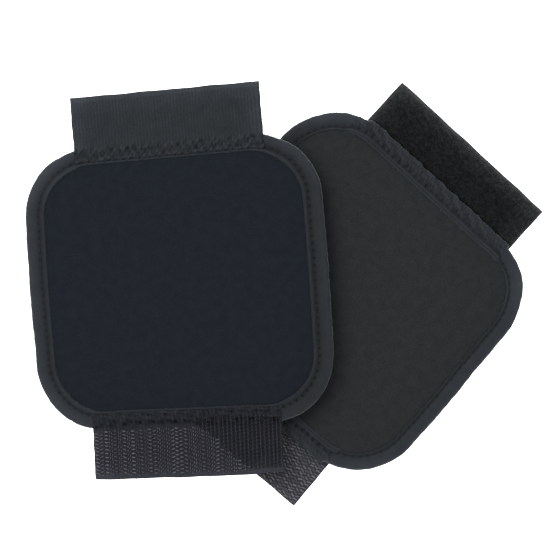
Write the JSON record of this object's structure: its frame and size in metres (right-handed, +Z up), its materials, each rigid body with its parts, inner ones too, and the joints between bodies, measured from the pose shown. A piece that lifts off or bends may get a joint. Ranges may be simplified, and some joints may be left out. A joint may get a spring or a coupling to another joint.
{
  "type": "knee pads",
  "caption": "Pair of soft square knee pads: foam between jersey covers, bound edges, and folding hook and loop tape tabs on opposite edges.",
  "frame": {"origin": "on the floor under the middle of the pair's plan, where the lower pad's hooks rest", "axes": "+Z up, +X towards the lower pad (to the right in the picture), +Y away in plan (up in it)"},
  "size_m": [0.2767, 0.2223, 0.0207],
  "materials": {
    "foam": "closed-cell foam",
    "navy_jersey": "fine knit, matte",
    "charcoal_jersey": "fine knit, matte",
    "binding_tape": "woven, slight sheen",
    "woven_tape": "woven nylon, ribbed",
    "hook_nylon": "nylon monofilament",
    "loop_pile": "napped loops",
    "thread": "sewing thread"
  },
  "bodies": {
    "lower_pad": {"lower_foam_core": "foam", "lower_face_cover": "navy_jersey", "lower_back_cover": "charcoal_jersey", "lower_edge_binding": "binding_tape", "lower_binding_stitch": "thread", "lower_hook_tape_margin": "woven_tape", "lower_hook_tape_seam": "thread", "lower_loop_tape_margin": "woven_tape", "lower_loop_tape_seam": "thread"},
    "lower_hook_tab": {"lower_hook_tape_flap": "woven_tape", "lower_hook_rows": "hook_nylon"},
    "lower_loop_tab": {"lower_loop_tape_flap": "woven_tape", "lower_loop_pile": "loop_pile"},
    "upper_pad": {"upper_foam_core": "foam", "upper_face_cover": "navy_jersey", "upper_back_cover": "charcoal_jersey", "upper_edge_binding": "binding_tape", "upper_binding_stitch": "thread", "upper_hook_tape_margin": "woven_tape", "upper_hook_tape_seam": "thread", "upper_loop_tape_margin": "woven_tape", "upper_loop_tape_seam": "thread"},
    "upper_hook_tab": {"upper_hook_tape_flap": "woven_tape", "upper_hook_rows": "hook_nylon"},
    "upper_loop_tab": {"upper_loop_tape_flap": "woven_tape", "upper_loop_pile": "loop_pile"}
  },
  "joints": [
    {"name": "upper_pad_lift", "type": "slide", "parent": "lower_pad", "child": "upper_pad", "axis": [0, 0, 1], "range_m": [0, 0.15]},
    {"name": "upper_hook_fold", "type": "hinge", "parent": "upper_pad", "child": "upper_hook_tab", "pos_m": [-0.05087, -0.07248, 0.01461], "axis": [-0.992, -0.0728, -0.1033], "range_deg": [0, 175], "stiffness_Nm_per_rad": 0.005},
    {"name": "upper_loop_fold", "type": "hinge", "parent": "upper_pad", "child": "upper_loop_tab", "pos_m": [-0.06218, 0.08191, 0.01431], "axis": [0.992, 0.0728, 0.1033], "range_deg": [0, 175], "stiffness_Nm_per_rad": 0.005},
    {"name": "lower_hook_fold", "type": "hinge", "parent": "lower_pad", "child": "lower_hook_tab", "pos_m": [-0.01793, -0.05879, -0.0002], "axis": [0.757, -0.6534, 0], "range_deg": [0, 175], "stiffness_Nm_per_rad": 0.005},
    {"name": "lower_loop_fold", "type": "hinge", "parent": "lower_pad", "child": "lower_loop_tab", "pos_m": [0.08322, 0.05839, 0.0029], "axis": [0.757, -0.6534, 0], "range_deg": [0, 100], "stiffness_Nm_per_rad": 0.005}
  ]
}
